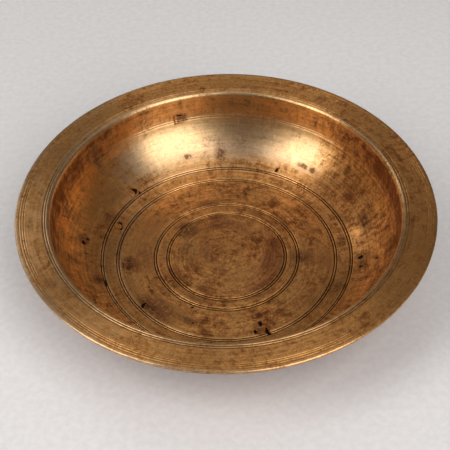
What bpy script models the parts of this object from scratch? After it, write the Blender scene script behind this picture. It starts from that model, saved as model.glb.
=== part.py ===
"""Brass urli bowl: a shallow round bowl with a wide, nearly flat flange.

Metres, +Z up. The origin is the centre of the flat underside that the bowl stands on.

The bowl is one casting, finished on a lathe: its section is drawn once and turned about Z. Set in its
wall are the chaplets, the small square chips of metal that held the core off the mould. They stay in
the casting as separate pieces of metal, flush with both of its faces, and show as small patches.
"""
import math

import bmesh
import bpy
from mathutils import Matrix

# Overall sizes.
RIM_RADIUS = 0.120
RIM_HEIGHT = 0.0476
RIM_RISE = 0.0006  # how much the flange climbs from the mouth to its outer edge
RIM_EDGE = 0.0018  # thickness of the flange at its outer edge
RIM_EDGE_ROUND = 0.0007
MOUTH_RADIUS = 0.1004  # top of the inside wall, just under the rounded corner
MOUTH_ROUND = 0.0022
FLANGE_ROOT = 0.0030  # thickness of the flange where it meets the wall
FLANGE_FILLET = 0.0040

# The neck runs down nearly straight to the wall line, where the curve of the bowl begins at a slight break.
WALL_LINE_RADIUS = 0.0991
WALL_LINE_DEPTH = 0.0175
WALL_LINE_SLOPE = 68.0  # degrees from level, at the top of the curve
FLOOR_RADIUS = 0.0570  # where the curve leaves the flat floor, inside and out
FLOOR_THICKNESS = 0.0034
WALL_THICKNESS = 0.0030

# Turned lines: pairs and single ones, by tape distance along the inside face from the floor's centre.
LINE_PAIRS = (0.0353, 0.0429, 0.0654, 0.0748, 0.1104, 0.1298)
RIM_LINES = (0.1410, 0.1422, 0.1436)
PAIR_SPACING = 0.0014
PAIR_DEPTH = 0.0004
RIM_LINE_DEPTH = 0.0002
LINE_WIDTH_PER_DEPTH = 1.7

# Chaplets: name, bearing from +X in degrees, tape distance from the floor's centre, side, twist in degrees.
CHAPLETS = (
    ("chaplet_floor_inner", 139, 0.0312, 0.0070, 20),
    ("chaplet_floor_left", 188, 0.0572, 0.0066, 4),
    ("chaplet_floor_front", 288, 0.0606, 0.0068, 8),
    ("chaplet_foot_back_left", 160, 0.0711, 0.0046, 30),
    ("chaplet_foot_left", 195, 0.0782, 0.0064, 4),
    ("chaplet_wall_back_left", 139, 0.0790, 0.0050, 12),
    ("chaplet_wall_right", 347, 0.0833, 0.0054, 25),
    ("chaplet_wall_left", 175, 0.0881, 0.0060, 42),
    ("chaplet_wall_high_left", 170, 0.1052, 0.0050, 15),
    ("chaplet_wall_high_back", 107, 0.1116, 0.0054, 8),
)
CHAPLET_REACH = 0.0120  # height of the block that is trimmed to the wall, more than the wall's thickness
CHAPLET_CORNER = 0.0006
FIT_GAP = 0.0003

TURN_STEPS = 64
CURVE_STEPS = 12
ROUND_STEPS = 3
MERGE = 0.0001

BRASS = (0.33, 0.19, 0.075, 1.0)
CHAPLET_METAL = (0.30, 0.13, 0.055, 1.0)


def clear_scene():
    for item in list(bpy.data.objects):
        bpy.data.objects.remove(item, do_unlink=True)


def make_collection(name):
    collection = bpy.data.collections.new(name)
    bpy.context.scene.collection.children.link(collection)
    return collection


def make_metal(name, colour, roughness):
    material = bpy.data.materials.new(name)
    material.use_nodes = True
    shader = material.node_tree.nodes["Principled BSDF"]
    shader.inputs["Base Color"].default_value = colour
    shader.inputs["Metallic"].default_value = 1.0
    shader.inputs["Roughness"].default_value = roughness
    return material


def arc(centre, radius, first_angle, last_angle, steps=ROUND_STEPS):
    """Points (x, z) of an arc, angles in degrees from +X towards +Z."""
    points = []
    for step in range(steps + 1):
        angle = math.radians(first_angle + (last_angle - first_angle) * step / steps)
        points.append((centre[0] + radius * math.cos(angle), centre[1] + radius * math.sin(angle)))
    return points


def bowl_curve(wall_line_radius, bottom, top):
    """A parabola from the floor, where it is level, up to the wall line, where it has the wall line's slope."""
    run = (top - bottom) / math.tan(math.radians(WALL_LINE_SLOPE))
    points = []
    for step in range(CURVE_STEPS + 1):
        part = step / CURVE_STEPS
        level = FLOOR_RADIUS + (wall_line_radius - run - FLOOR_RADIUS) * part
        sloping = wall_line_radius - run * (1 - part)
        points.append((level + (sloping - level) * part, bottom + (top - bottom) * part ** 2))
    return points


def inside_face():
    """The section's inside and top faces, from the floor's centre out to the flange's edge."""
    flange_height = RIM_HEIGHT - RIM_RISE
    wall_line_height = flange_height - WALL_LINE_DEPTH
    corner = (MOUTH_RADIUS + MOUTH_ROUND, flange_height - MOUTH_ROUND)
    edge_centre = (RIM_RADIUS - RIM_EDGE_ROUND, RIM_HEIGHT - RIM_EDGE_ROUND)
    return (
        [(0.0, FLOOR_THICKNESS)]
        + bowl_curve(WALL_LINE_RADIUS, FLOOR_THICKNESS, wall_line_height)
        + arc(corner, MOUTH_ROUND, 180, 90)
        + arc(edge_centre, RIM_EDGE_ROUND, 90, 0)
    )


def outside_face():
    """The section's under side, from the flange's edge down the wall to the centre of the foot."""
    wall_line_height = RIM_HEIGHT - RIM_RISE - WALL_LINE_DEPTH
    root_height = RIM_HEIGHT - RIM_RISE - FLANGE_ROOT
    wall_top = MOUTH_RADIUS + WALL_THICKNESS
    edge_centre = (RIM_RADIUS - RIM_EDGE_ROUND, RIM_HEIGHT - RIM_EDGE + RIM_EDGE_ROUND)
    fillet_centre = (wall_top + FLANGE_FILLET, root_height - FLANGE_FILLET)
    wall = bowl_curve(WALL_LINE_RADIUS + WALL_THICKNESS, 0.0, wall_line_height)
    return (
        arc(edge_centre, RIM_EDGE_ROUND, 0, -90)
        + arc(fillet_centre, FLANGE_FILLET, 90, 180)
        + wall[::-1]
        + [(0.0, 0.0)]
    )


def at_tape(face, tape):
    """The point at a distance along a face, and the direction that the face runs in there."""
    left = tape
    for start, end in zip(face, face[1:]):
        length = math.dist(start, end)
        if left <= length:
            break
        left -= length
    direction = ((end[0] - start[0]) / length, (end[1] - start[1]) / length)
    return (start[0] + direction[0] * left, start[1] + direction[1] * left), direction


def tape_of(face, index):
    return sum(math.dist(face[i], face[i + 1]) for i in range(index))


def engraved(face, lines):
    """The face with a V cut for each line, given as (tape distance, depth)."""
    tapes = [tape_of(face, index) for index in range(len(face))]
    cut = []
    covered = []
    for tape, depth in lines:
        half_width = depth * LINE_WIDTH_PER_DEPTH / 2
        (x, z), (along_x, along_z) = at_tape(face, tape)
        covered.append((tape - half_width - MERGE, tape + half_width + MERGE))
        cut.append((tape - half_width, at_tape(face, tape - half_width)[0]))
        cut.append((tape, (x + along_z * depth, z - along_x * depth)))
        cut.append((tape + half_width, at_tape(face, tape + half_width)[0]))
    kept = [
        (tape, point)
        for tape, point in zip(tapes, face)
        if not any(low < tape < high for low, high in covered)
    ]
    return [point for tape, point in sorted(kept + cut)]


def turned_lines():
    lines = []
    for tape in LINE_PAIRS:
        lines.append((tape - PAIR_SPACING / 2, PAIR_DEPTH))
        lines.append((tape + PAIR_SPACING / 2, PAIR_DEPTH))
    lines += [(tape, RIM_LINE_DEPTH) for tape in RIM_LINES]
    return lines


def turned_bowl(name, collection):
    """The section as an open chain of edges at +X, turned once round Z by a Screw modifier."""
    section = engraved(inside_face(), turned_lines()) + outside_face()[1:]
    mesh = bpy.data.meshes.new(name)
    edges = [(index, index + 1) for index in range(len(section) - 1)]
    mesh.from_pydata([(x, 0.0, z) for x, z in section], edges, [])
    bowl = bpy.data.objects.new(name, mesh)
    collection.objects.link(bowl)
    turn = bowl.modifiers.new("turn", "SCREW")
    turn.steps = TURN_STEPS
    turn.render_steps = TURN_STEPS
    turn.use_merge_vertices = True
    turn.merge_threshold = MERGE
    turn.use_smooth_shade = True
    return bowl


def chaplet_place(bearing, tape, twist):
    """A frame on the inside face: +Z out of the metal, +Y up the section, then turned by the twist."""
    (radius, height), (along_r, along_z) = at_tape(inside_face(), tape)
    across = math.radians(bearing)
    frame = Matrix((
        (math.sin(across), along_r * math.cos(across), -along_z * math.cos(across), radius * math.cos(across)),
        (-math.cos(across), along_r * math.sin(across), -along_z * math.sin(across), radius * math.sin(across)),
        (0.0, along_z, along_r, height),
        (0.0, 0.0, 0.0, 1.0),
    ))
    return frame @ Matrix.Rotation(math.radians(twist), 4, "Z")


def add_block(name, collection, side, place):
    """A square block with rounded corners, standing through the wall at its place."""
    mesh = bpy.data.meshes.new(name)
    shape = bmesh.new()
    bmesh.ops.create_cube(shape, size=1.0, matrix=Matrix.Diagonal((side, side, CHAPLET_REACH, 1.0)))
    upright = [edge for edge in shape.edges if abs(edge.verts[0].co.z - edge.verts[1].co.z) > side / 2]
    bmesh.ops.bevel(shape, geom=upright, offset=CHAPLET_CORNER, segments=2, profile=0.5, affect="EDGES")
    shape.to_mesh(mesh)
    shape.free()
    block = bpy.data.objects.new(name, mesh)
    block.matrix_world = place
    collection.objects.link(block)
    return block


def add_boolean(target, operation, other):
    cut = target.modifiers.new(operation.lower(), "BOOLEAN")
    cut.operation = operation
    cut.solver = "EXACT"
    cut.object = other


def hide_cutter(cutter):
    cutter.hide_render = True
    cutter.display_type = "WIRE"


def build():
    clear_scene()
    parts = make_collection("urli_bowl")
    cutters = make_collection("cutters")
    brass = make_metal("aged_brass", BRASS, 0.38)
    chaplet_metal = make_metal("chaplet_brass", CHAPLET_METAL, 0.45)

    bowl = turned_bowl("bowl", parts)
    bowl.data.materials.append(brass)
    whole = turned_bowl("bowl_without_pockets", cutters)
    hide_cutter(whole)

    for name, bearing, tape, side, twist in CHAPLETS:
        place = chaplet_place(bearing, tape, twist)
        pocket = add_block(name + "_pocket", cutters, side + 2 * FIT_GAP, place)
        hide_cutter(pocket)
        add_boolean(bowl, "DIFFERENCE", pocket)

        chaplet = add_block(name, parts, side, place)
        chaplet.data.materials.append(chaplet_metal)
        add_boolean(chaplet, "INTERSECT", whole)


build()
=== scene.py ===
import math

import bmesh
import bpy
import numpy as np
from mathutils import Matrix, Vector


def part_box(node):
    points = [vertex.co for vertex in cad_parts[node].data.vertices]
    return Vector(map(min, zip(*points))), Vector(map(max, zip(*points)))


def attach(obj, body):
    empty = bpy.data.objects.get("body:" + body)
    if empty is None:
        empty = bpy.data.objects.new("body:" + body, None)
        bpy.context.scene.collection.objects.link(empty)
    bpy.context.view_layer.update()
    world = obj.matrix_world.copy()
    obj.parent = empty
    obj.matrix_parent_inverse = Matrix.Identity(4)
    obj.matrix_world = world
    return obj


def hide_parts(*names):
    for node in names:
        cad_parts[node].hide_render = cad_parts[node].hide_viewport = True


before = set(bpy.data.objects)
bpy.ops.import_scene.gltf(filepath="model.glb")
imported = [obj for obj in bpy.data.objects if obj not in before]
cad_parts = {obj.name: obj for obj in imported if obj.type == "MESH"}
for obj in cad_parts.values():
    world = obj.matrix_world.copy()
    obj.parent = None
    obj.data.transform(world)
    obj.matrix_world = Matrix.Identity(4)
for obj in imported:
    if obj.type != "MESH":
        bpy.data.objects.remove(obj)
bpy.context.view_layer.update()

MM = 0.001

# The section repeats the CAD model's sizes. The rim comes from the frame.
RIM_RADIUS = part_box("bowl")[1].x
RIM_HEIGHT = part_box("bowl")[1].z
RIM_RISE = 0.6 * MM
RIM_EDGE = 1.8 * MM
RIM_EDGE_ROUND = 0.7 * MM
RIM_EDGE_ARC = math.pi / 2 * RIM_EDGE_ROUND
MOUTH_RADIUS = 100.4 * MM
MOUTH_ROUND = 2.2 * MM
FLANGE_ROOT = 3.0 * MM
FLANGE_FILLET = 4.0 * MM
WALL_LINE_RADIUS = 99.1 * MM
WALL_LINE_DEPTH = 17.5 * MM
WALL_LINE_SLOPE = 68.0  # degrees from level, at the top of the curve
FLOOR_RADIUS = 57.0 * MM
FLOOR_THICKNESS = 3.4 * MM
WALL_THICKNESS = 3.0 * MM
WALL_LINE_EASE = 5.0 * MM  # the break at the wall line is worn round, this far to both sides of it

# Turned lines. Pairs are given by the tape distance of their middle and the depth of their two cuts.
DEEP_CUT = 0.48 * MM
LINE_PAIRS = {
    35.3 * MM: DEEP_CUT, 42.9 * MM: DEEP_CUT, 65.4 * MM: DEEP_CUT, 74.8 * MM: DEEP_CUT,
    110.4 * MM: 0.16 * MM, 129.8 * MM: 0.28 * MM,
}
PAIR_SPACING = 1.4 * MM
PAIR_CUT_WIDTH = 0.32 * MM
RIM_LINES = [141.0 * MM, 142.2 * MM, 143.6 * MM]
RIM_CUT_DEPTH = 0.14 * MM
RIM_CUT_WIDTH = 0.22 * MM

# The burrs of a pair, between its cuts and beside them, are rubbed brightest.
BURRS = (-1.35 * MM, 0.0, 1.35 * MM)
BURR_WIDTH = 0.3 * MM
BURR_WEAR = 0.25

# Unevenness of the casting: waves round the bowl, pitch along the section (mm), height (mm) and phase.
CAST_WAVES = ((2, 61, 0.10, 0.4), (3, 37, 0.07, 2.1), (5, 23, 0.035, 4.0), (7, 47, 0.03, 1.2))
LATHE_WAVES = ((7.3, 0.012), (3.9, 0.007))  # pitch and height (mm)
TRUE_EDGE = 12 * MM  # the unevenness dies away over this distance, so the rim is true

# Mesh density: steps round the bowl, distances between its rings, and steps of the section's curves.
TURN_STEPS = 296
FINE_STEP = 1.05 * MM
COARSE_STEP = 2.4 * MM
MOUTH_STEP = 0.45 * MM
EDGE_STEP = 0.2 * MM
PAIR_STEP = 0.2 * MM
PAIR_REACH = 1.4 * MM  # how far the finer rings go to both sides of a pair's middle
RIM_LINE_STEP = 0.15 * MM
RIM_LINE_REACH = 0.45 * MM
FACE_STEP = 0.25 * MM
SAME_POINT = 1e-7
CURVE_STEPS = 400
EASE_STEPS = 40
ROUND_STEPS = 24
EDGE_ROUND_STEPS = 16
CHAPLET_STEPS = 48
SHARP_ANGLE = 35  # degrees between faces, from which an edge shows sharp

# Chaplets: side (mm), twist (degrees), the side where the seam gapes (mm back round the bowl, mm up
# the section) and tone, from pale orange (0) to dark red (1). Their places come from the frame.
CHAPLETS = {
    "chaplet_floor_inner": (7.0, 20, (0.10, -0.34), 0.75),
    "chaplet_floor_left": (6.6, 4, (-0.10, 0.12), 0.85),
    "chaplet_floor_front": (6.8, 8, (-0.45, -0.05), 0.40),
    "chaplet_foot_back_left": (4.6, 30, (0.42, -0.36), 0.50),
    "chaplet_foot_left": (6.4, 4, (-0.20, -0.30), 0.80),
    "chaplet_wall_back_left": (5.0, 12, (0.50, -0.10), 0.00),
    "chaplet_wall_right": (5.4, 25, (-0.34, -0.20), 0.45),
    "chaplet_wall_left": (5.6, 42, (-0.14, -0.14), 1.00),
    "chaplet_wall_high_left": (5.0, 15, (0.20, 0.06), 0.60),
    "chaplet_wall_high_back": (5.4, 8, (-0.12, 0.16), 0.40),
}
SEAM = 0.34 * MM
CHAPLET_SQUARENESS = 5.0  # 2 would be a circle, and a high number a sharp square
CHAPLET_UNEVENNESS = 0.02
CHAPLET_WEAR = 0.45
CHAPLET_STAIN = 0.15

# A chaplet's top and bottom: outlines as parts of its full size, and how far each is worn down (mm).
# Both lie below the bowl's faces by their sink (mm).
CHAPLET_RINGS = [(0.2, 0.0), (0.4, 0.0), (0.6, 0.0), (0.8, 0.005), (0.93, 0.02), (0.985, 0.07), (1.0, 0.2)]
CHAPLET_TOP_SINK = 0.03
CHAPLET_BOTTOM_SINK = 0.05

# Casting pits: bearing, tape (mm), length, width, depth (mm), turn (degrees from round the bowl), bend.
PITS = [
    (137.2, 78.6, 4.4, 2.0, 1.0, 84, 0.5),
    (136.0, 75.8, 2.2, 1.2, 0.6, 60, 0.2),
    (157.6, 71.0, 3.4, 1.4, 0.9, 78, 0.5),
    (160.6, 68.7, 3.0, 1.2, 0.8, 160, -0.5),
    (218.5, 61.7, 4.8, 2.0, 0.9, 116, 0.4),
    (284.4, 61.8, 3.2, 1.8, 0.9, 96, 0.2),
    (290.4, 64.0, 6.0, 2.2, 1.0, 92, 0.2),
    (288.8, 56.6, 3.4, 2.4, 1.0, 84, 0.1),
    (353.8, 80.2, 3.6, 2.6, 1.0, 100, 0.2),
    (348.6, 81.2, 2.6, 1.3, 0.7, 75, 0.4),
    (197.8, 74.8, 5.2, 1.5, 0.7, 176, 0.2),
    (64.4, 78.4, 3.0, 1.2, 0.6, 80, 0.1),
    (106.6, 114.2, 3.2, 0.9, 0.4, 164, -0.6),
    (350.4, 91.6, 1.8, 1.4, 0.5, 0, 0.1),
    (176.6, 87.6, 3.6, 1.8, 0.7, 35, 0.3),
    (243.4, 45.6, 2.0, 1.2, 0.4, 20, 0.2),
    (174.0, 85.2, 2.8, 1.4, 0.7, 70, 0.4),
    (249.0, 55.8, 1.8, 1.2, 0.4, 40, 0.1),
]
PIT_LUMPS = (1.5, 2.5, 4.0, 6.0)  # how closely the lumps of a pit follow each other
PIT_LUMP_HEIGHT = (0.05, 0.13)

CUTTER_REACH = 1.2 * MM  # how far the cutters for the pockets stand out of both faces

# Each chaplet and each pit draws its unevenness from a seed of its own, counted on from these.
CHAPLET_SEED = 1
PIT_SEED = 101
RANDOM_PHASE = (0, 6.28)

STAIN_LEAST_RADIUS = 5 * MM  # nearer to the axis, stains are as wide as they would be here

# Dark stains and red-brown ones, the red-brown ones with one patch of painted shade: bearing, tape (mm),
# half width round the bowl, half height (mm), strength.
DARK_STAINS = [
    (218, 61, 9, 4, 1.0), (222, 61, 7, 3.5, 0.6), (186, 60, 6, 4, 0.9), (197, 77, 5, 4, 0.9),
    (138, 81, 3, 5, 0.8), (139, 30, 8, 6, 1.0), (134, 27, 6, 2, 1.0), (99, 33, 7, 3, 1.0),
    (141, 87, 3, 6, 0.8), (175.3, 88, 4.5, 4.5, 1.0), (173, 97, 3, 6, 0.6), (28, 87, 3, 3, 0.9),
    (35.5, 98, 3, 3, 0.8), (81, 122, 2.5, 5, 1.0), (143.5, 100, 3, 18, 0.4), (91.5, 90, 3, 14, 0.3),
    (12, 87, 8, 4, 0.5), (287, 60, 5, 6, 0.8), (246, 55, 8, 3.5, 0.8), (337, 72, 5, 4, 0.9),
    (322, 62, 8, 4, 0.7), (340, 34, 12, 5, 0.6), (355, 42, 5, 12, 0.4), (190, 22, 14, 4, 0.6),
    (165, 25, 12, 5, 0.7), (20, 76, 10, 2, 0.6), (341, 133, 3, 3, 0.9), (262, 135, 5, 2.5, 0.5),
    (187, 138, 7, 4, 0.6), (106, 139, 2, 5, 0.6), (350, 82, 5, 4, 0.7), (60, 39, 9, 5, 0.5),
    (120, 33, 8, 4, 0.6), (60, 66, 10, 3, 0.5), (240, 38, 12, 4, 0.6), (300, 37, 12, 3, 0.6),
    (51, 117, 2, 4, 0.7), (60, 125, 1.5, 2, 0.7), (103, 120, 1.5, 2, 0.8), (169, 105, 3, 4, 0.8),
    (157, 83, 5, 4, 0.6), (5, 69, 4, 3, 0.8), (24, 56, 6, 4, 0.4), (75, 57, 7, 3, 0.4),
    (273, 49, 8, 3, 0.4),
]
RED_STAINS_AND_SHADE = [
    (186, 57, 8, 6, 1.0), (195, 79, 6, 5, 0.8), (91.5, 86, 4, 9, 0.7), (54, 87, 4, 2, 0.9),
    (49, 87, 2, 2, 0.9), (106.5, 86, 3, 2, 0.9), (106, 112, 4, 4, 1.0), (106, 122, 2, 4, 0.8),
    (158, 78, 9, 5, 0.7), (143.5, 112, 4, 12, 0.9), (12, 88, 9, 4, 0.6), (357, 45, 6, 9, 0.9),
    (334, 68, 9, 6, 0.7), (242, 30, 5, 3, 0.7), (102, 45, 12, 4, 0.6), (138, 36, 9, 6, 0.6),
    (205, 34, 9, 5, 0.6), (312, 33, 14, 4, 0.7), (178, 66, 8, 4, 0.5), (120.5, 125, 2, 2, 0.7),
    (188, 92, 3, 6, 0.6), (40, 83, 8, 3, 0.5), (76, 84, 10, 4, 0.4), (345, 26, 14, 5, 0.7),
    (231, 61, 10, 4, 0.7), (212, 137, 6, 4, 0.6), (217, 134, 5, 3, 0.5), (72, 24, 14, 5, 0.5),
    (30, 92, 5, 3, 0.5), (45, 136, 9, 4, 0.4), (226, 57, 13, 7, 1.0), (95, 26, 14, 6, 0.6),
    (150, 52, 16, 7, 0.5), (10, 30, 14, 8, 0.5), (165, 12, 14, 9, 0.5), (180, 50, 20, 12, 0.5),
    # The last patch below, wide on the neck between the two softbox reflections, is partly a stain and
    # partly painted shade.
    (200, 60, 16, 8, 0.4), (355, 60, 14, 10, 0.4), (86, 119, 17, 8, 0.55),
]

# How bright the metal is rubbed, by tape distance (mm): 0 is all patina, 1 is clean brass.
WEAR = {
    0: 0.58, 30: 0.46, 50: 0.58, 70: 0.62, 84: 0.54, 106: 0.50, 113: 0.20, 124: 0.14, 126: 0.95, 128.4: 1.0,
    129.2: 0.64, 144: 0.70, 145: 0.9,
}
UNDERSIDE_WEAR = 0.25

# How strongly the wear runs up and down the section, by tape distance (mm).
UPRIGHT = {57: 0.0, 80: 1.0, 124: 1.0, 130: 0.25}

# The metal is darker on one side of the bowl, given by its bearing, and lighter on the opposite side, by
# these amounts taken off the wear.
DARKER_SIDE = 5
DARKER_SIDE_DROP = {0: 0.0, 57: 0.10, 126: 0.10, 129: 0.13}

# The wall is rubbed cleanest on this side, between two tape distances, and its cuts hold less dirt there.
RUBBED_SIDE = 88
RUBBED = {72: 0.0, 86: 0.50, 106: 0.55, 114: 0.66, 124: 0.60, 126: 0.0}
RUBBED_CUTS = 0.4

# Camera, at the photograph's viewing angle: degrees below level and of roll.
CAMERA_LENS = 85.0
CAMERA_SENSOR = 36.0
CAMERA_DOWN = 45.57
CAMERA_ROLL = -1.24
CAMERA_DISTANCE = 0.596
CAMERA_AIM = Vector((-0.0006, -0.0175, 0.0470))

# Softboxes: azimuth (0 in front of the bowl, 90 on its right), elevation, distance, width, height, power.
SOFTBOXES = {
    "left_softbox": (-64, 42, 1.3, 0.60, 1.20, 8.8),
    "right_softbox": (38, 40.5, 1.3, 0.85, 1.45, 12.6),
    "back_left_softbox": (-140, 38, 1.6, 0.50, 0.50, 1.6),
    "top_softbox": (180, 75, 1.6, 1.2, 1.2, 2.6),
}
WORLD_COLOUR = (1.0, 0.97, 0.94, 1.0)
WORLD_STRENGTH = 0.10
FLOOR_REACH = 4  # half the floor's side


# ---------------------------------------------------------------- the section

def arc(centre, radius, first_angle, last_angle, steps):
    """Points (radius, height) of an arc, angles in degrees from outward to upward."""
    angles = np.radians(np.linspace(first_angle, last_angle, steps + 1))
    return np.column_stack((centre[0] + radius * np.cos(angles), centre[1] + radius * np.sin(angles)))


def bowl_curve(wall_line_radius, bottom, top):
    """A parabola from the floor, level there, up to the wall line, with the wall line's slope there."""
    run = (top - bottom) / math.tan(math.radians(WALL_LINE_SLOPE))
    part = np.linspace(0, 1, CURVE_STEPS + 1)
    level = FLOOR_RADIUS + (wall_line_radius - run - FLOOR_RADIUS) * part
    sloping = wall_line_radius - run * (1 - part)
    return np.column_stack((level + (sloping - level) * part, bottom + (top - bottom) * part ** 2))


def eased(curve, after, reach):
    """A curve and the straight run on to the point after it, with the break between them rounded off."""
    corner = curve[-1]
    kept = curve[np.hypot(*(curve - corner).T) > reach]
    ahead = np.array(after) - corner
    end = corner + ahead / np.hypot(*ahead) * reach
    part = np.linspace(0, 1, EASE_STEPS + 1)[1:].reshape(-1, 1)
    rounding = (1 - part) ** 2 * kept[-1] + 2 * part * (1 - part) * corner + part ** 2 * end
    return np.vstack((kept, rounding))


def inside_points():
    """From the centre of the floor up the wall and out to the middle of the flange's edge."""
    flange = RIM_HEIGHT - RIM_RISE
    corner = (MOUTH_RADIUS + MOUTH_ROUND, flange - MOUTH_ROUND)
    edge = (RIM_RADIUS - RIM_EDGE_ROUND, RIM_HEIGHT - RIM_EDGE_ROUND)
    mouth = arc(corner, MOUTH_ROUND, 180, 90, ROUND_STEPS)
    wall = bowl_curve(WALL_LINE_RADIUS, FLOOR_THICKNESS, flange - WALL_LINE_DEPTH)
    return np.vstack((
        [(0.0, FLOOR_THICKNESS)],
        eased(wall, mouth[0], WALL_LINE_EASE),
        mouth,
        arc(edge, RIM_EDGE_ROUND, 90, 0, EDGE_ROUND_STEPS),
    ))


def outside_points():
    """From the middle of the flange's edge under the flange, down the wall and in to the foot's centre."""
    flange = RIM_HEIGHT - RIM_RISE
    root = flange - FLANGE_ROOT
    wall_top = MOUTH_RADIUS + WALL_THICKNESS
    edge = (RIM_RADIUS - RIM_EDGE_ROUND, RIM_HEIGHT - RIM_EDGE + RIM_EDGE_ROUND)
    fillet = (wall_top + FLANGE_FILLET, root - FLANGE_FILLET)
    wall = bowl_curve(WALL_LINE_RADIUS + WALL_THICKNESS, 0.0, flange - WALL_LINE_DEPTH)
    return np.vstack((
        arc(edge, RIM_EDGE_ROUND, 0, -90, EDGE_ROUND_STEPS),
        arc(fillet, FLANGE_FILLET, 90, 180, ROUND_STEPS),
        wall[::-1],
        [(0.0, 0.0)],
    ))


class Face:
    """A face of the section, addressed by tape distance."""

    def __init__(self, points):
        steps = np.hypot(*np.diff(points, axis=0).T)
        corners = points[np.concatenate(([True], steps > SAME_POINT))]
        reached = np.concatenate(([0.0], np.cumsum(np.hypot(*np.diff(corners, axis=0).T))))
        self.length = reached[-1]
        self.tapes = np.unique(np.concatenate((reached, np.arange(0.0, self.length, FACE_STEP))))
        self.points = np.column_stack([np.interp(self.tapes, reached, corners[:, axis]) for axis in (0, 1)])

    def at(self, tape):
        """Points (radius, height) at tape distances."""
        return np.column_stack([np.interp(tape, self.tapes, self.points[:, axis]) for axis in (0, 1)])

    def normal(self, tape):
        """Unit normals out of the metal, as (radius, height) pairs."""
        reach = 0.2 * MM
        ahead = self.at(np.minimum(np.asarray(tape) + reach, self.length))
        behind = self.at(np.maximum(np.asarray(tape) - reach, 0.0))
        along = ahead - behind
        along /= np.linalg.norm(along, axis=1, keepdims=True)
        return np.column_stack((-along[:, 1], along[:, 0]))

    def nearest(self, point):
        """The tape distance of the face's point that lies nearest."""
        return self.tapes[np.argmin(np.hypot(*(self.points - point).T))]


INSIDE = Face(inside_points())
OUTSIDE = Face(outside_points())


def stepped(start, end, step):
    """Evenly spaced values from start to end, no further apart than the step."""
    count = max(int(math.ceil((end - start) / step)), 1)
    return list(np.linspace(start, end, count + 1))


def inside_tapes():
    """Tape distances of the rings on the inside face, closer together where the section turns or is cut."""
    flange = RIM_HEIGHT - RIM_RISE
    corner_start = INSIDE.nearest((MOUTH_RADIUS, flange - MOUTH_ROUND))
    corner_end = INSIDE.nearest((MOUTH_RADIUS + MOUTH_ROUND, flange))
    edge_start = INSIDE.length - RIM_EDGE_ARC
    spans = [(corner_start, corner_end, MOUTH_STEP), (edge_start, INSIDE.length, EDGE_STEP)]
    spans += [(tape - PAIR_REACH, tape + PAIR_REACH, PAIR_STEP) for tape in LINE_PAIRS]
    spans += [(tape - RIM_LINE_REACH, tape + RIM_LINE_REACH, RIM_LINE_STEP) for tape in RIM_LINES]
    wanted = stepped(0.0, INSIDE.length, FINE_STEP)
    for start, end, step in spans:
        wanted = [tape for tape in wanted if not start - step < tape < end + step]
        wanted += stepped(start, end, step)
    return np.array(sorted(set(wanted)))[1:]


def outside_tapes():
    """Tape distances of the rings on the outside face, without those at its two ends."""
    edge = stepped(0.0, RIM_EDGE_ARC, EDGE_STEP)[1:]
    rest = stepped(RIM_EDGE_ARC, OUTSIDE.length, COARSE_STEP)[1:-1]
    return np.array(edge + rest)


def groove_depth(tape):
    """Depth of the turned lines: two rounded cuts to a pair, and fainter single ones near the edge."""
    depth = np.zeros_like(tape)
    for pair, cut_depth in LINE_PAIRS.items():
        for side in (-0.5, 0.5):
            depth += cut_depth * np.exp(-((tape - pair - side * PAIR_SPACING) / PAIR_CUT_WIDTH) ** 2)
    for line in RIM_LINES:
        depth += RIM_CUT_DEPTH * np.exp(-((tape - line) / RIM_CUT_WIDTH) ** 2)
    return depth


def relief(bearing, tape):
    """How far the cast and turned surface stands out from the section, by bearing in radians."""
    waves = np.zeros_like(tape)
    for turns, pitch, height, phase in CAST_WAVES:
        along = np.sin(2 * math.pi * tape / (pitch * MM) + phase)
        waves = waves + height * MM * np.cos(turns * bearing + phase) * along
    for pitch, height in LATHE_WAVES:
        waves = waves + height * MM * np.sin(2 * math.pi * tape / (pitch * MM))
    fade = np.clip((INSIDE.length - RIM_EDGE_ARC - tape) / TRUE_EDGE, 0, 1)
    return waves * fade - groove_depth(tape)


def to_space(bearing, flat):
    """Points in space for bearings in radians and (radius, height) pairs."""
    return np.column_stack((flat[:, 0] * np.cos(bearing), flat[:, 0] * np.sin(bearing), flat[:, 1]))


def on_inside(bearing, tape, lift=0.0):
    """Points on the uneven inside face, or lifted out of it."""
    out = np.reshape(relief(bearing, tape) + lift, (-1, 1))
    return to_space(bearing, INSIDE.at(tape) + INSIDE.normal(tape) * out)


# ---------------------------------------------------------------- meshes

def new_piece(name, points, faces, materials):
    mesh = bpy.data.meshes.new(name)
    mesh.from_pydata(np.asarray(points).tolist(), [], faces)
    for material in materials:
        mesh.materials.append(material)
    mesh.shade_smooth()
    mesh.validate()
    piece = bpy.data.objects.new(name, mesh)
    bpy.context.scene.collection.objects.link(piece)
    return piece


def ring_faces(rings, count):
    """Faces of a solid of revolution: a first point, rings of count points, and a last point."""
    last = rings * count + 1
    faces = [(0, 1 + step, 1 + (step + 1) % count) for step in range(count)]
    for ring in range(rings - 1):
        near = 1 + ring * count
        far = near + count
        faces += [
            (near + step, far + step, far + (step + 1) % count, near + (step + 1) % count)
            for step in range(count)
        ]
    near = 1 + (rings - 1) * count
    faces += [(near + (step + 1) % count, near + step, last) for step in range(count)]
    return faces


def patches(bearing, tape, stains):
    """0 to 1 by place, in soft oval patches."""
    total = np.zeros(len(tape))
    radius = np.maximum(INSIDE.at(tape)[:, 0], STAIN_LEAST_RADIUS)
    for at_bearing, at_tape, half_width, half_height, strength in stains:
        turn = np.angle(np.exp(1j * (bearing - math.radians(at_bearing))))
        across = turn * radius / (half_width * MM)
        along = (tape - at_tape * MM) / (half_height * MM)
        total = np.maximum(total, strength * np.exp(-(across ** 2 + along ** 2)))
    return total


def add_attribute(mesh, name, values):
    attribute = mesh.attributes.new(name, "FLOAT", "POINT")
    attribute.data.foreach_set("value", np.asarray(values, dtype=np.float32))


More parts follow.
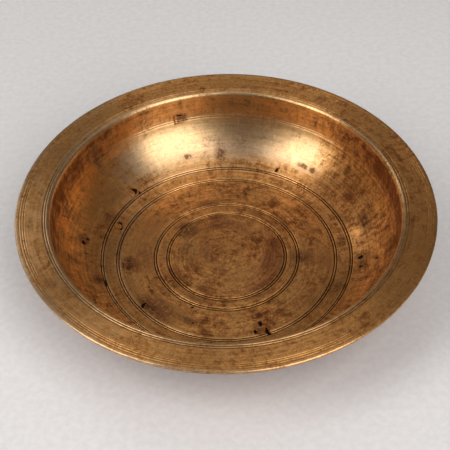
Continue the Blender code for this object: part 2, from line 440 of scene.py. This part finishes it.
def make_bowl(brass):
    """The whole casting, before the pockets and pits are cut, with its wear and stains as attributes."""
    bearing = np.arange(TURN_STEPS) * 2 * math.pi / TURN_STEPS
    inside = inside_tapes()
    outside = outside_tapes()
    rows = [on_inside(bearing, np.full(TURN_STEPS, tape)) for tape in inside]
    rows += [to_space(bearing, OUTSIDE.at([tape] * TURN_STEPS)) for tape in outside]
    points = np.vstack([[(0, 0, FLOOR_THICKNESS)], *rows, [(0, 0, 0)]])
    bowl = new_piece("bowl_casting", points, ring_faces(len(rows), TURN_STEPS), [brass])

    tape_in = np.repeat(inside, TURN_STEPS)
    tape_out = np.repeat(INSIDE.length + outside, TURN_STEPS)
    bearing_in = np.tile(bearing, len(inside))
    all_tapes = np.concatenate(([0.0], tape_in, tape_out, [INSIDE.length + OUTSIDE.length]))
    add_attribute(bowl.data, "tape", all_tapes)
    cut_depth = np.clip(groove_depth(tape_in) / DEEP_CUT, 0, 1)
    marks = {  # at the floor's centre, on the inside face and on the outside face
        "recess": (0.0, cut_depth * (1 - RUBBED_CUTS * towards(bearing_in, RUBBED_SIDE)), 0.0),
        "wear": (WEAR[0], inside_wear(bearing_in, tape_in), UNDERSIDE_WEAR),
        "upright": (0.0, by_tape(UPRIGHT, tape_in), 0.0),
        "dark": (0.0, patches(bearing_in, tape_in, DARK_STAINS), 0.0),
        "red": (0.0, patches(bearing_in, tape_in, RED_STAINS_AND_SHADE), 0.0),
    }
    for name, (centre, on_face, under) in marks.items():
        values = np.concatenate(([centre], on_face, np.full(len(tape_out) + 1, under)))
        add_attribute(bowl.data, name, values)
    return bowl


def towards(bearing, side):
    """1 on one side of the bowl, fading to 0 a quarter turn and more away from it."""
    return np.clip(1.2 * np.cos(bearing - math.radians(side)), 0, 1) ** 3


def by_tape(table, tape):
    """Values from a table by tape distance in millimetres, in straight steps between its entries."""
    return np.interp(tape / MM, list(table), list(table.values()))


def inside_wear(bearing, tape):
    """How far the metal is rubbed clean, with one side of the bowl darker than the other."""
    wear = by_tape(WEAR, tape)
    wear -= by_tape(DARKER_SIDE_DROP, tape) * np.cos(bearing - math.radians(DARKER_SIDE))
    wear += by_tape(RUBBED, tape) * towards(bearing, RUBBED_SIDE)
    for pair in LINE_PAIRS:
        for burr in BURRS:
            wear += BURR_WEAR * np.exp(-((tape - pair - burr) / BURR_WIDTH) ** 2)
    return wear


class Place:
    """A spot on the inside face, with a flat map round it: u back round the bowl, v up the section."""

    def __init__(self, bearing, tape, twist):
        self.bearing = bearing
        self.tape = tape
        self.radius = INSIDE.at([tape])[0, 0]
        self.twist = twist

    def spread(self, u, v):
        """Bearing and tape of points of the map."""
        turned_u = u * math.cos(self.twist) - v * math.sin(self.twist)
        turned_v = u * math.sin(self.twist) + v * math.cos(self.twist)
        return self.bearing - turned_u / self.radius, self.tape + turned_v


def chaplet_outline(side, grow, seed):
    """A square with rounded, slightly uneven sides, as (u, v) columns."""
    chance = np.random.default_rng(seed)
    angle = np.linspace(0, 2 * math.pi, CHAPLET_STEPS, endpoint=False)
    power = CHAPLET_SQUARENESS
    size = (np.abs(np.cos(angle)) ** power + np.abs(np.sin(angle)) ** power) ** (-1 / power)
    uneven = sum(
        chance.uniform(-CHAPLET_UNEVENNESS, CHAPLET_UNEVENNESS)
        * np.cos(waves * angle + chance.uniform(*RANDOM_PHASE))
        for waves in range(2, 9)
    )
    size = size * side / 2 * (1 + uneven) + grow
    return size * np.cos(angle), size * np.sin(angle)


def through_wall(bearing, tape, lift):
    """The point across the wall from a place on the inside face, lifted out of the outside face."""
    start = INSIDE.at(tape)
    across = INSIDE.normal(tape)
    depth = np.array([np.min(np.hypot(*(OUTSIDE.points - point).T)) for point in start])
    return to_space(bearing, start - across * (depth.reshape(-1, 1) + lift))


def chaplet_mesh(name, place, side, seed, materials):
    """A plug through the wall: its top and bottom follow the bowl's faces, with worn edges."""
    u, v = chaplet_outline(side, 0.0, seed)
    centre = place.spread(np.zeros(1), np.zeros(1))
    rows = []
    for scale, drop in CHAPLET_RINGS:
        bearing, tape = place.spread(u * scale, v * scale)
        rows.append(on_inside(bearing, tape, -(CHAPLET_TOP_SINK + drop) * MM))
    for scale, drop in reversed(CHAPLET_RINGS):
        bearing, tape = place.spread(u * scale, v * scale)
        rows.append(through_wall(bearing, tape, -(CHAPLET_BOTTOM_SINK + drop) * MM))
    top = on_inside(*centre, -CHAPLET_TOP_SINK * MM)
    bottom = through_wall(*centre, -CHAPLET_BOTTOM_SINK * MM)
    faces = [face[::-1] for face in ring_faces(len(rows), CHAPLET_STEPS)]
    return new_piece(name, np.vstack([top, *rows, bottom]), faces, materials)


def pocket_mesh(place, side, gape, seed):
    """Points and faces of the cutter for a chaplet: its outline, wider by the seam and moved to one side."""
    u, v = chaplet_outline(side, SEAM / 2, seed)
    count = CHAPLET_STEPS
    bearing, tape = place.spread(u + gape[0] * MM, v + gape[1] * MM)
    above = on_inside(bearing, tape, CUTTER_REACH)
    below = through_wall(bearing, tape, CUTTER_REACH)
    faces = [tuple(range(count)), tuple(reversed(range(count, 2 * count)))]
    faces += [(step, step + count, (step + 1) % count + count, (step + 1) % count) for step in range(count)]
    return np.vstack((above, below)), [face[::-1] for face in faces]


def unit_ball():
    """Points and faces of a ball of radius 1."""
    shape = bmesh.new()
    bmesh.ops.create_icosphere(shape, subdivisions=3, radius=1.0)
    shape.verts.index_update()
    points = np.array([vert.co[:] for vert in shape.verts])
    faces = [tuple(vert.index for vert in face.verts) for face in shape.faces]
    shape.free()
    return points, faces


def pit_mesh(pit, seed):
    """Points and faces of a lumpy, bent lens that bites a casting pit out of the inside face."""
    bearing, tape, length, width, depth, turn, bend = pit
    chance = np.random.default_rng(seed)
    points, faces = unit_ball()
    lumps = sum(
        chance.uniform(*PIT_LUMP_HEIGHT)
        * np.cos(points @ chance.normal(0, pitch, 3) + chance.uniform(*RANDOM_PHASE))
        for pitch in PIT_LUMPS
    )
    points = points * (1 + lumps.reshape(-1, 1))
    u = points[:, 0] * length / 2 * MM
    v = (points[:, 1] * width / 2 + bend * width * (points[:, 0] ** 2 - 0.5)) * MM
    place = Place(math.radians(bearing), tape * MM, math.radians(turn))
    return on_inside(*place.spread(u, v), points[:, 2] * depth * MM), faces


def joined(meshes):
    """Points and faces of several meshes as one."""
    points = []
    faces = []
    start = 0
    for more_points, more_faces in meshes:
        points.append(more_points)
        faces += [tuple(index + start for index in face) for face in more_faces]
        start += len(more_points)
    return np.vstack(points), faces


def triangulate(mesh):
    """Triangulates a mesh after its cuts, and drops triangles that lie back to back on the same corners."""
    shape = bmesh.new()
    shape.from_mesh(mesh)
    bmesh.ops.triangulate(shape, faces=shape.faces)
    by_corners = {}
    for face in shape.faces:
        by_corners.setdefault(frozenset(face.verts), []).append(face)
    back_to_back = [face for faces in by_corners.values() if len(faces) > 1 for face in faces]
    bmesh.ops.delete(shape, geom=back_to_back, context="FACES")
    shape.to_mesh(mesh)
    shape.free()


def cut(pieces, shapes, material):
    """Cuts shapes that stand clear of each other out of the pieces, for good."""
    cutter = new_piece("cutter", *joined(shapes), [material])
    for piece in pieces:
        modifier = piece.modifiers.new("cut", "BOOLEAN")
        modifier.operation = "DIFFERENCE"
        modifier.solver = "EXACT"
        modifier.object = cutter
        modifier.material_mode = "TRANSFER"
        graph = bpy.context.evaluated_depsgraph_get()
        evaluated = piece.evaluated_get(graph)
        done = bpy.data.meshes.new_from_object(evaluated, preserve_all_data_layers=True, depsgraph=graph)
        piece.modifiers.clear()
        piece.data = done
    bpy.data.objects.remove(cutter, do_unlink=True)


# ---------------------------------------------------------------- materials

BRASS_PALE = (0.66, 0.385, 0.165, 1.0)
BRASS_WARM = (0.65, 0.310, 0.094, 1.0)
PATINA_PALE = (0.300, 0.096, 0.021, 1.0)
PATINA_DARK = (0.145, 0.042, 0.010, 1.0)
PATINA_RED = (0.185, 0.046, 0.013, 1.0)
STAIN_AND_SHADE_RED = (0.090, 0.022, 0.011, 1.0)
STAIN_DARK = (0.040, 0.014, 0.005, 1.0)
CUT_DIRT = (0.010, 0.005, 0.002, 1.0)
CHAPLET_PALE = (0.50, 0.24, 0.10, 1.0)
CHAPLET_RED = (0.06, 0.018, 0.007, 1.0)
GRIME_BLACK = (0.004, 0.003, 0.002, 1.0)
GRIME_BROWN = (0.020, 0.010, 0.006, 1.0)
FLOOR_DARKER = (0.77, 0.745, 0.735, 1.0)
FLOOR_PALER = (0.83, 0.805, 0.795, 1.0)

# The upper wall is a little less red than the rest. The tint sets in over the first of these stretches
# of tape distance and ends over the second.
UPPER_WALL_TINT = (1.0, 1.06, 1.02, 1.0)
NO_TINT = (1.0, 1.0, 1.0, 1.0)
TINT_STARTS = (84 * MM, 106 * MM)
TINT_ENDS = (126 * MM, 129 * MM)

# Noises that are alike in all directions: scale, detail, roughness and distortion.
EVEN_NOISES = {
    "clouds": (38.0, 3.0, 0.5, 0.4),
    "blotches": (150.0, 6.0, 0.62, 0.7),
    "flecks": (260.0, 5.0, 0.7, 1.2),
    "mottle": (420.0, 4.0, 0.6, 0.5),
    "speckle": (1100.0, 3.0, 0.6, 0.0),
}

# Noises that follow the turning: pitch along the section, changes round the bowl and detail.
TURNED_NOISES = {
    "streaks": (1.3 * MM, 2.2, 4.0),
    "hairlines": (0.30 * MM, 7.0, 2.0),
    "runs": (18 * MM, 26.0, 4.0),
}

# How strongly each noise breaks up the rubbed metal, the stains' edges, the shade and the surface.
CLEAN_GAINS = {"clouds": 1.1, "blotches": 1.1, "mottle": 0.8, "speckle": 0.5, "streaks": 0.6, "runs": 0.9}
STAIN_GAINS = {"mottle": 4.0, "blotches": 3.0}
SHADE_GAINS = {"blotches": 0.5, "mottle": 0.9, "speckle": 0.8, "streaks": 0.8, "hairlines": 0.6, "runs": 0.4}
BUMP_GAINS = {"hairlines": 0.5, "streaks": 0.9, "speckle": 0.15}

# Between which values a noise or a mark fades in.
CLEAN_FADE = (0.10, 0.95)
DARK_FADE = (0.12, 0.95)
RED_FADE = (0.08, 0.85)
CUT_FADE = (0.20, 0.62)
FLECK_FADE = (0.66, 0.73)
PATINA_FADE = (0.35, 0.65)
RED_PATINA_FADE = (0.40, 0.62)
PALE_BRASS_FADE = (0.72, 1.02)
WAX_FADE = (0.55, 1.05)

# How far stains, and the painted shade among the red ones, colour the metal, and how far they cover its
# shine.
STAIN_COLOUR = {"red": 0.80, "dark": 0.78}
STAIN_COVER = {"red": 0.40, "dark": 0.60}
FLECK_DARKNESS = 0.5
RED_PATINA_SHARE = 0.9
PALE_BRASS_GAIN = 0.5
CHAPLET_TINTING = 0.7

# Shine. METALLIC and ROUGHNESS go from patina to clean metal.
METALLIC = (0.55, 1.0)
ROUGHNESS = (0.50, 0.36)
COVER_ROUGHNESS = 0.16
STREAK_ROUGHNESS = 0.10
SPECULAR = 0.15
WAX_ROUGHNESS = 0.32
WAX_INDEX = 1.65
STAIN_DEPTH = 0.5
BUMP_STRENGTH = 0.24
BUMP_DEPTH = 0.05 * MM

# How strongly the turned lines spread reflections, from the middle of the floor to the wall.
SPREAD_FADE = (20 * MM, 75 * MM)
SPREAD = (0.15, 0.80)


def node(tree, kind, inputs=None, **settings):
    """Adds a node; an input given as a socket is linked, any other value is set."""
    made = tree.nodes.new(kind)
    for key, value in settings.items():
        setattr(made, key, value)
    for key, value in (inputs or {}).items():
        if isinstance(value, bpy.types.NodeSocket):
            tree.links.new(value, made.inputs[key])
        else:
            made.inputs[key].default_value = value
    return made


def combine(tree, operation, first, second, clamp=False):
    """One number from two, such as their sum for ADD."""
    made = node(tree, "ShaderNodeMath", {0: first, 1: second}, operation=operation, use_clamp=clamp)
    return made.outputs[0]


def ramp(tree, factor, low, high, start=0.0, end=1.0, smooth=True):
    """A number that goes from start to end while the factor goes from low to high."""
    kind = "SMOOTHSTEP" if smooth else "LINEAR"
    made = node(
        tree, "ShaderNodeMapRange",
        {"Value": factor, "From Min": low, "From Max": high, "To Min": start, "To Max": end},
        interpolation_type=kind, clamp=True,
    )
    return made.outputs["Result"]


def blend(tree, factor, first, second):
    """A colour that goes from the first to the second as the factor goes from 0 to 1."""
    return node(tree, "ShaderNodeMix", {0: factor, 6: first, 7: second}, data_type="RGBA").outputs[2]


def noise(tree, vector, scale, detail=4.0, roughness=0.55, distortion=0.0):
    inputs = {"Vector": vector, "Scale": scale, "Detail": detail, "Roughness": roughness}
    return node(tree, "ShaderNodeTexNoise", {**inputs, "Distortion": distortion}).outputs["Fac"]


def heading(tree, position):
    """The bearing on the bowl, as the two parts of a unit vector away from its axis."""
    parts = node(tree, "ShaderNodeSeparateXYZ", {0: position}).outputs
    flat = node(tree, "ShaderNodeCombineXYZ", {0: parts[0], 1: parts[1], 2: 0.0}).outputs[0]
    unit = node(tree, "ShaderNodeVectorMath", {0: flat}, operation="NORMALIZE").outputs[0]
    return node(tree, "ShaderNodeSeparateXYZ", {0: unit}).outputs[:2]


def turned_noise(tree, tape, bearing, pitch, turns, detail):
    """Noise by tape distance and bearing: rings at a small pitch, runs up the section at many turns."""
    vector = node(tree, "ShaderNodeCombineXYZ", {
        0: combine(tree, "DIVIDE", tape, pitch),
        1: combine(tree, "MULTIPLY", bearing[0], turns),
        2: combine(tree, "MULTIPLY", bearing[1], turns),
    }).outputs[0]
    return noise(tree, vector, 1.0, detail=detail, roughness=0.6)


def centred(tree, value, gain):
    """Noise about zero: (value - 0.5) * gain."""
    inputs = {0: value, 1: gain, 2: -0.5 * gain}
    return node(tree, "ShaderNodeMath", inputs, operation="MULTIPLY_ADD").outputs[0]


def varied(tree, value, noises, gains):
    """The value with the named noises added, each centred on zero and made stronger by its gain."""
    for name, gain in gains.items():
        value = combine(tree, "ADD", value, centred(tree, noises[name], gain))
    return value


def blend_value(tree, factor, value):
    """The value where the factor is 1, and an even 0.5 where it is 0."""
    return node(tree, "ShaderNodeMix", {0: factor, 2: 0.5, 3: value}, data_type="FLOAT").outputs[0]


def new_material(name):
    """A material, its node tree, its shader and the position on the object."""
    material = bpy.data.materials.new(name)
    material.use_nodes = True
    tree = material.node_tree
    position = node(tree, "ShaderNodeTexCoord").outputs["Object"]
    return material, tree, tree.nodes["Principled BSDF"], position


def mesh_value(tree, name):
    """What add_attribute wrote on the mesh, or 0 where it wrote nothing."""
    return node(tree, "ShaderNodeAttribute", attribute_name=name).outputs["Fac"]


def metal_noises(tree, position, marks):
    noises = {name: noise(tree, position, *settings) for name, settings in EVEN_NOISES.items()}
    bearing = heading(tree, position)
    for name, settings in TURNED_NOISES.items():
        noises[name] = turned_noise(tree, marks["tape"], bearing, *settings)
    noises["runs"] = blend_value(tree, marks["upright"], noises["runs"])
    return noises


def metal_masks(tree, marks, noises):
    """Where the metal is rubbed clean, stained dark or red (the red with a patch of painted shade), and cut,
    each from 0 to 1.
    """
    breakup = varied(tree, 0.0, noises, STAIN_GAINS)

    def ragged(stain, fade):
        return ramp(tree, combine(tree, "ADD", stain, combine(tree, "MULTIPLY", breakup, stain)), *fade)

    flecks = combine(tree, "MULTIPLY", ramp(tree, noises["flecks"], *FLECK_FADE), FLECK_DARKNESS)
    return {
        "clean": ramp(tree, varied(tree, marks["wear"], noises, CLEAN_GAINS), *CLEAN_FADE),
        "dark": combine(tree, "MAXIMUM", ragged(marks["dark"], DARK_FADE), flecks),
        "red": ragged(marks["red"], RED_FADE),
        "cut": ramp(tree, marks["recess"], *CUT_FADE),
    }


def bare_colour(tree, marks, noises, clean):
    """Rubbed brass and brown patina, before stains and dirt."""
    patina = blend(tree, ramp(tree, noises["blotches"], *PATINA_FADE), PATINA_DARK, PATINA_PALE)
    redness = ramp(tree, noises["clouds"], *RED_PATINA_FADE, 0.0, RED_PATINA_SHARE)
    patina = blend(tree, redness, patina, PATINA_RED)
    rubbed = combine(tree, "ADD", marks["wear"], centred(tree, noises["blotches"], PALE_BRASS_GAIN))
    brass = blend(tree, ramp(tree, rubbed, *PALE_BRASS_FADE), BRASS_WARM, BRASS_PALE)
    colour = blend(tree, clean, patina, brass)
    started = ramp(tree, marks["tape"], *TINT_STARTS)
    ended = ramp(tree, marks["tape"], *TINT_ENDS)
    tint = blend(tree, combine(tree, "SUBTRACT", started, ended), NO_TINT, UPPER_WALL_TINT)
    return node(tree, "ShaderNodeVectorMath", {0: colour, 1: tint}, operation="MULTIPLY").outputs[0]


def metal_colour(tree, marks, noises, masks, tone_attribute):
    """The metal with its stains and a patch of painted shade, a chaplet's own tone, the noises in its shade
    and the dirt in its cuts.
    """
    colour = bare_colour(tree, marks, noises, masks["clean"])
    colour = blend(tree, combine(tree, "MULTIPLY", masks["red"], STAIN_COLOUR["red"]), colour, STAIN_AND_SHADE_RED)
    colour = blend(tree, combine(tree, "MULTIPLY", masks["dark"], STAIN_COLOUR["dark"]), colour, STAIN_DARK)
    if tone_attribute:
        tinted = blend(tree, mesh_value(tree, tone_attribute), CHAPLET_PALE, CHAPLET_RED)
        colour = blend(tree, CHAPLET_TINTING, colour, tinted)
    shade = varied(tree, 1.0, noises, SHADE_GAINS)
    colour = node(tree, "ShaderNodeVectorMath", {0: colour, "Scale": shade}, operation="SCALE").outputs[0]
    return blend(tree, masks["cut"], colour, CUT_DIRT)


def metal_bump(tree, noises, dark):
    """Fine lathe lines and grain, with the dark stains eaten a little into the metal."""
    height = 0.0
    for name, gain in BUMP_GAINS.items():
        height = combine(tree, "ADD", height, combine(tree, "MULTIPLY", noises[name], gain))
    height = combine(tree, "SUBTRACT", height, combine(tree, "MULTIPLY", dark, STAIN_DEPTH))
    inputs = {"Strength": BUMP_STRENGTH, "Distance": BUMP_DEPTH, "Height": height}
    return node(tree, "ShaderNodeBump", inputs).outputs[0]


def set_shine(tree, shader, noises, masks):
    """Clean metal is smoother and more metallic. Stains and dirt cover it. Gives how bare it is of them."""
    dark = combine(tree, "MULTIPLY", masks["dark"], STAIN_COVER["dark"])
    red = combine(tree, "MULTIPLY", masks["red"], STAIN_COVER["red"])
    cover = combine(tree, "MAXIMUM", combine(tree, "MAXIMUM", dark, red), masks["cut"])
    bare = combine(tree, "SUBTRACT", 1.0, cover)
    metallic = ramp(tree, masks["clean"], 0.0, 1.0, *METALLIC, smooth=False)
    tree.links.new(combine(tree, "MULTIPLY", metallic, bare), shader.inputs["Metallic"])
    rough = ramp(tree, masks["clean"], 0.0, 1.0, *ROUGHNESS, smooth=False)
    rough = combine(tree, "ADD", rough, combine(tree, "MULTIPLY", cover, COVER_ROUGHNESS))
    rough = combine(tree, "ADD", rough, centred(tree, noises["streaks"], STREAK_ROUGHNESS), clamp=True)
    tree.links.new(rough, shader.inputs["Roughness"])
    tree.links.new(combine(tree, "MULTIPLY", bare, SPECULAR), shader.inputs["Specular IOR Level"])
    return bare


def set_wax(tree, shader, wear, clean, bare):
    """A thin film of wax and oil, where the metal is rubbed cleanest."""
    amount = combine(tree, "MULTIPLY", wear, combine(tree, "MULTIPLY", clean, bare))
    tree.links.new(ramp(tree, amount, *WAX_FADE), shader.inputs["Coat Weight"])
    shader.inputs["Coat Roughness"].default_value = WAX_ROUGHNESS
    shader.inputs["Coat IOR"].default_value = WAX_INDEX


def set_turning(tree, shader, tape):
    """The lathe's lines spread reflections up and down the section, less so in the middle of the floor."""
    tree.links.new(ramp(tree, tape, *SPREAD_FADE, *SPREAD), shader.inputs["Anisotropic"])
    shader.inputs["Anisotropic Rotation"].default_value = 0.25
    tangent = node(tree, "ShaderNodeTangent", direction_type="RADIAL", axis="Z")
    tree.links.new(tangent.outputs[0], shader.inputs["Tangent"])


def aged_metal(name, tone_attribute=None):
    """Aged brass: rubbed metal showing through brown patina in soft patches, dark in cuts and stains."""
    material, tree, shader, position = new_material(name)
    marks = {key: mesh_value(tree, key) for key in ("tape", "recess", "wear", "dark", "red", "upright")}
    noises = metal_noises(tree, position, marks)
    masks = metal_masks(tree, marks, noises)
    colour = metal_colour(tree, marks, noises, masks, tone_attribute)
    tree.links.new(colour, shader.inputs["Base Color"])
    bump = metal_bump(tree, noises, masks["dark"])
    tree.links.new(bump, shader.inputs["Normal"])
    tree.links.new(bump, shader.inputs["Coat Normal"])
    bare = set_shine(tree, shader, noises, masks)
    set_wax(tree, shader, marks["wear"], masks["clean"], bare)
    set_turning(tree, shader, marks["tape"])
    return material


def grime():
    """The dirt and black oxide that lines the pits and seams."""
    material, tree, shader, position = new_material("pit_grime")
    crumbs = noise(tree, position, 900.0)
    colour = blend(tree, ramp(tree, crumbs, 0.35, 0.65), GRIME_BLACK, GRIME_BROWN)
    tree.links.new(colour, shader.inputs["Base Color"])
    shader.inputs["Roughness"].default_value = 0.9
    shader.inputs["Specular IOR Level"].default_value = 0.05
    bump = node(tree, "ShaderNodeBump", {"Strength": 0.5, "Distance": 0.08 * MM, "Height": crumbs})
    tree.links.new(bump.outputs[0], shader.inputs["Normal"])
    return material


def floor_material():
    material, tree, shader, position = new_material("pale_floor")
    grain = noise(tree, position, 260.0, detail=5.0)
    colour = blend(tree, ramp(tree, grain, 0.3, 0.7), FLOOR_DARKER, FLOOR_PALER)
    tree.links.new(colour, shader.inputs["Base Color"])
    shader.inputs["Roughness"].default_value = 0.9
    shader.inputs["Specular IOR Level"].default_value = 0.2
    return material


# ---------------------------------------------------------------- building the bowl

def build_chaplet(name, seed, metal):
    """A chaplet at its place in the frame, and the cutter for its pocket."""
    side, twist, gape, tone = CHAPLETS[name]
    low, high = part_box(name)
    centre = (low + high) / 2
    bearing = math.atan2(centre.y, centre.x)
    middle = (math.hypot(centre.x, centre.y), centre.z)
    place = Place(bearing, INSIDE.nearest(middle), math.radians(twist))
    chaplet = chaplet_mesh(name + "_metal", place, side * MM, seed, [metal])
    points = [Vector(vert.co) for vert in chaplet.data.vertices]
    for key, value in (("tape", place.tape), ("wear", CHAPLET_WEAR), ("dark", CHAPLET_STAIN)):
        add_attribute(chaplet.data, key, np.full(len(points), value))
    across = np.array([(point - centre).length for point in points]) / (side / 2 * MM)
    add_attribute(chaplet.data, "tone", np.clip(tone + across ** 3, 0, 1))
    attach(chaplet, "root")
    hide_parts(name)
    return chaplet, pocket_mesh(place, side * MM, gape, seed)


def build_bowl():
    """The casting and its chaplets. Pits that lie side by side are cut in two turns, as they may touch."""
    brass = aged_metal("aged_brass")
    chaplet_brass = aged_metal("chaplet_brass", tone_attribute="tone")
    dirt = grime()
    bowl = make_bowl(brass)
    seeded = enumerate(CHAPLETS, start=CHAPLET_SEED)
    built = [build_chaplet(name, seed, chaplet_brass) for seed, name in seeded]
    chaplets = [chaplet for chaplet, pocket in built]
    cut([bowl], [pocket for chaplet, pocket in built], dirt)
    pits = [pit_mesh(pit, seed) for seed, pit in enumerate(PITS, start=PIT_SEED)]
    for apart in (pits[::2], pits[1::2]):
        cut([bowl, *chaplets], apart, dirt)
    for piece in (bowl, *chaplets):
        triangulate(piece.data)
    bowl.data.set_sharp_from_angle(angle=math.radians(SHARP_ANGLE))
    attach(bowl, "root")
    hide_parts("bowl")


# ---------------------------------------------------------------- the room

def place_camera():
    data = bpy.data.cameras.new("camera")
    data.lens = CAMERA_LENS
    data.sensor_width = CAMERA_SENSOR
    data.clip_start = 0.01
    camera = bpy.data.objects.new("camera", data)
    bpy.context.scene.collection.objects.link(camera)
    down = math.radians(CAMERA_DOWN)
    ahead = Vector((0.0, math.cos(down), -math.sin(down)))
    tilt = Matrix.Rotation(math.radians(90) - down, 4, "X")
    roll = Matrix.Rotation(math.radians(CAMERA_ROLL), 4, "Z")
    camera.matrix_world = Matrix.Translation(CAMERA_AIM - ahead * CAMERA_DISTANCE) @ (tilt @ roll)
    bpy.context.scene.camera = camera


def softbox(name, azimuth, elevation, distance, width, height, power):
    """An area light aimed at the bowl."""
    data = bpy.data.lights.new(name, "AREA")
    data.shape = "RECTANGLE"
    data.size = width
    data.size_y = height
    data.energy = power
    light = bpy.data.objects.new(name, data)
    bpy.context.scene.collection.objects.link(light)
    side = math.radians(azimuth)
    up = math.radians(elevation)
    outward = Vector((math.sin(side) * math.cos(up), -math.cos(side) * math.cos(up), math.sin(up)))
    light.location = outward * distance
    light.rotation_mode = "QUATERNION"
    light.rotation_quaternion = outward.to_track_quat("Z", "Y")


def make_room():
    """A pale floor, an evenly lit world and the softboxes."""
    reach = FLOOR_REACH
    corners = [(-reach, -reach, 0), (reach, -reach, 0), (reach, reach, 0), (-reach, reach, 0)]
    floor = new_piece("floor", corners, [(0, 1, 2, 3)], [floor_material()])
    world = bpy.data.worlds.new("studio")
    world.use_nodes = True
    background = world.node_tree.nodes["Background"]
    background.inputs["Color"].default_value = WORLD_COLOUR
    background.inputs["Strength"].default_value = WORLD_STRENGTH
    bpy.context.scene.world = world
    bpy.context.scene.view_settings.view_transform = "Standard"
    for name, settings in SOFTBOXES.items():
        softbox(name, *settings)


place_camera()
build_bowl()
make_room()
